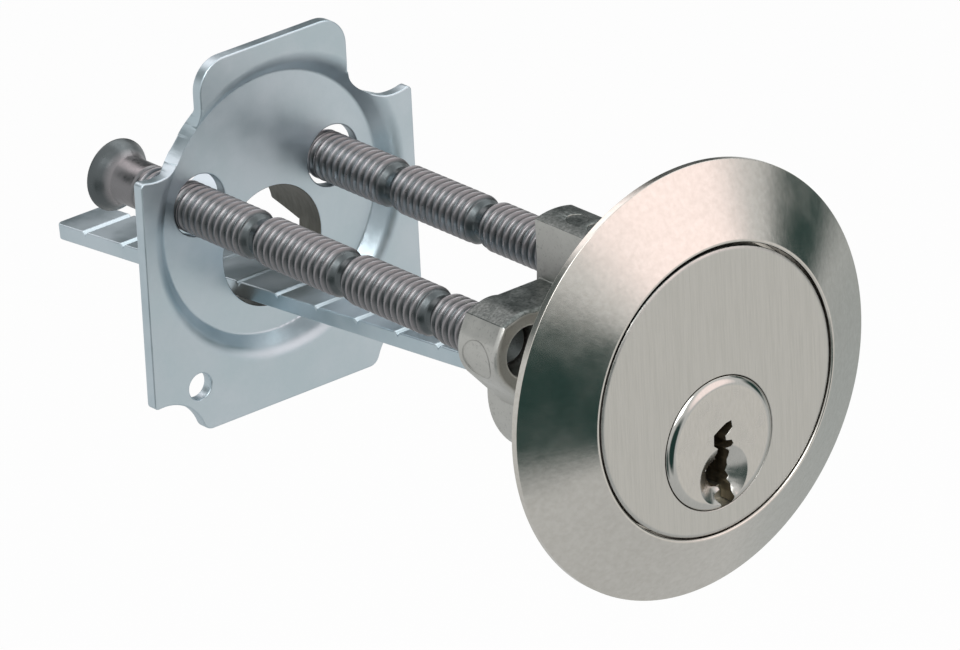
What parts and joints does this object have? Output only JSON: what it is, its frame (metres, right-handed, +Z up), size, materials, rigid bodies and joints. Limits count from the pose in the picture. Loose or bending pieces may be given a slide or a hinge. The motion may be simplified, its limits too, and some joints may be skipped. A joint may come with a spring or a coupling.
{
  "type": "night latch rim cylinder",
  "caption": "Outer rim cylinder of a night latch: cone trim ring, pin tumbler lock, snap-off tail bar, long notched fixing screws and a dished backplate.",
  "frame": {"origin": "centre of the trim ring, in the plane where the ring meets the outside of the door", "axes": "+Y into the door towards the tail bar's tip, +X right seen from the front, +Z up"},
  "size_m": [0.052, 0.1166, 0.052],
  "materials": {
    "ring_nickel": "satin nickel plate on brass, soft and slightly cloudy",
    "housing_nickel": "satin nickel plate on a casting, brushed on the face",
    "plug_nickel": "bright nickel plate on turned brass",
    "pin_brass": "turned, plain",
    "spring_steel": "bright drawn wire",
    "zinc_steel": "pressed, blue zinc plate",
    "screw_steel": "rolled thread, dark oiled zinc"
  },
  "bodies": {
    "housing": {"cylinder_housing": "housing_nickel", "chamber_plugs": "housing_nickel", "pin_spring_1": "spring_steel", "pin_spring_2": "spring_steel", "pin_spring_3": "spring_steel", "pin_spring_4": "spring_steel", "pin_spring_5": "spring_steel"},
    "ring": {"trim_ring": "ring_nickel"},
    "plug": {"key_plug": "plug_nickel", "plug_retaining_clip": "spring_steel", "tail_driver": "zinc_steel", "tail_pin": "spring_steel"},
    "tail": {"tail_bar": "zinc_steel"},
    "plate": {"backplate": "zinc_steel"},
    "near_screw": {"near_fixing_screw": "screw_steel"},
    "far_screw": {"far_fixing_screw": "screw_steel"},
    "key_pin_1": {"key_pin_1": "pin_brass"},
    "driver_pin_1": {"driver_pin_1": "pin_brass"},
    "key_pin_2": {"key_pin_2": "pin_brass"},
    "driver_pin_2": {"driver_pin_2": "pin_brass"},
    "key_pin_3": {"key_pin_3": "pin_brass"},
    "driver_pin_3": {"driver_pin_3": "pin_brass"},
    "key_pin_4": {"key_pin_4": "pin_brass"},
    "driver_pin_4": {"driver_pin_4": "pin_brass"},
    "key_pin_5": {"key_pin_5": "pin_brass"},
    "driver_pin_5": {"driver_pin_5": "pin_brass"}
  },
  "joints": [
    {"name": "ring_turn", "type": "hinge", "parent": "housing", "child": "ring", "pos_m": [0, 0, 0], "axis": [0, 1, 0], "continuous": true},
    {"name": "plug_turn", "type": "hinge", "parent": "housing", "child": "plug", "pos_m": [0, 0, -0.00636], "axis": [0, 1, 0], "continuous": true},
    {"name": "tail_tilt", "type": "hinge", "parent": "plug", "child": "tail", "pos_m": [0, 0.029, -0.00701], "axis": [1, 0, 0], "range_deg": [0, 9.4]},
    {"name": "plate_slide", "type": "slide", "parent": "housing", "child": "plate", "axis": [0, 1, 0], "range_m": [-0.045, 0.0003]},
    {"name": "near_screw_turn", "type": "hinge", "parent": "housing", "child": "near_screw", "pos_m": [-0.01045, 0.02, 0.00207], "axis": [0, 1, 0], "continuous": true},
    {"name": "far_screw_turn", "type": "hinge", "parent": "housing", "child": "far_screw", "pos_m": [0.01045, 0.02, 0.00207], "axis": [0, 1, 0], "continuous": true},
    {"name": "key_pin_1_lift", "type": "slide", "parent": "plug", "child": "key_pin_1", "axis": [0, 0, 1], "range_m": [-0.0029, 0]},
    {"name": "driver_pin_1_lift", "type": "slide", "parent": "housing", "child": "driver_pin_1", "axis": [0, 0, 1], "range_m": [0, 0.003], "stiffness_N_per_m": 120, "springref_m": -0.005, "deforming": ["pin_spring_1"]},
    {"name": "key_pin_2_lift", "type": "slide", "parent": "plug", "child": "key_pin_2", "axis": [0, 0, 1], "range_m": [-0.0017, 0]},
    {"name": "driver_pin_2_lift", "type": "slide", "parent": "housing", "child": "driver_pin_2", "axis": [0, 0, 1], "range_m": [0, 0.003], "stiffness_N_per_m": 120, "springref_m": -0.005, "deforming": ["pin_spring_2"]},
    {"name": "key_pin_3_lift", "type": "slide", "parent": "plug", "child": "key_pin_3", "axis": [0, 0, 1], "range_m": [-0.0023, 0]},
    {"name": "driver_pin_3_lift", "type": "slide", "parent": "housing", "child": "driver_pin_3", "axis": [0, 0, 1], "range_m": [0, 0.003], "stiffness_N_per_m": 120, "springref_m": -0.005, "deforming": ["pin_spring_3"]},
    {"name": "key_pin_4_lift", "type": "slide", "parent": "plug", "child": "key_pin_4", "axis": [0, 0, 1], "range_m": [-0.0012, 0]},
    {"name": "driver_pin_4_lift", "type": "slide", "parent": "housing", "child": "driver_pin_4", "axis": [0, 0, 1], "range_m": [0, 0.003], "stiffness_N_per_m": 120, "springref_m": -0.005, "deforming": ["pin_spring_4"]},
    {"name": "key_pin_5_lift", "type": "slide", "parent": "plug", "child": "key_pin_5", "axis": [0, 0, 1], "range_m": [-0.002, 0]},
    {"name": "driver_pin_5_lift", "type": "slide", "parent": "housing", "child": "driver_pin_5", "axis": [0, 0, 1], "range_m": [0, 0.003], "stiffness_N_per_m": 120, "springref_m": -0.005, "deforming": ["pin_spring_5"]}
  ]
}
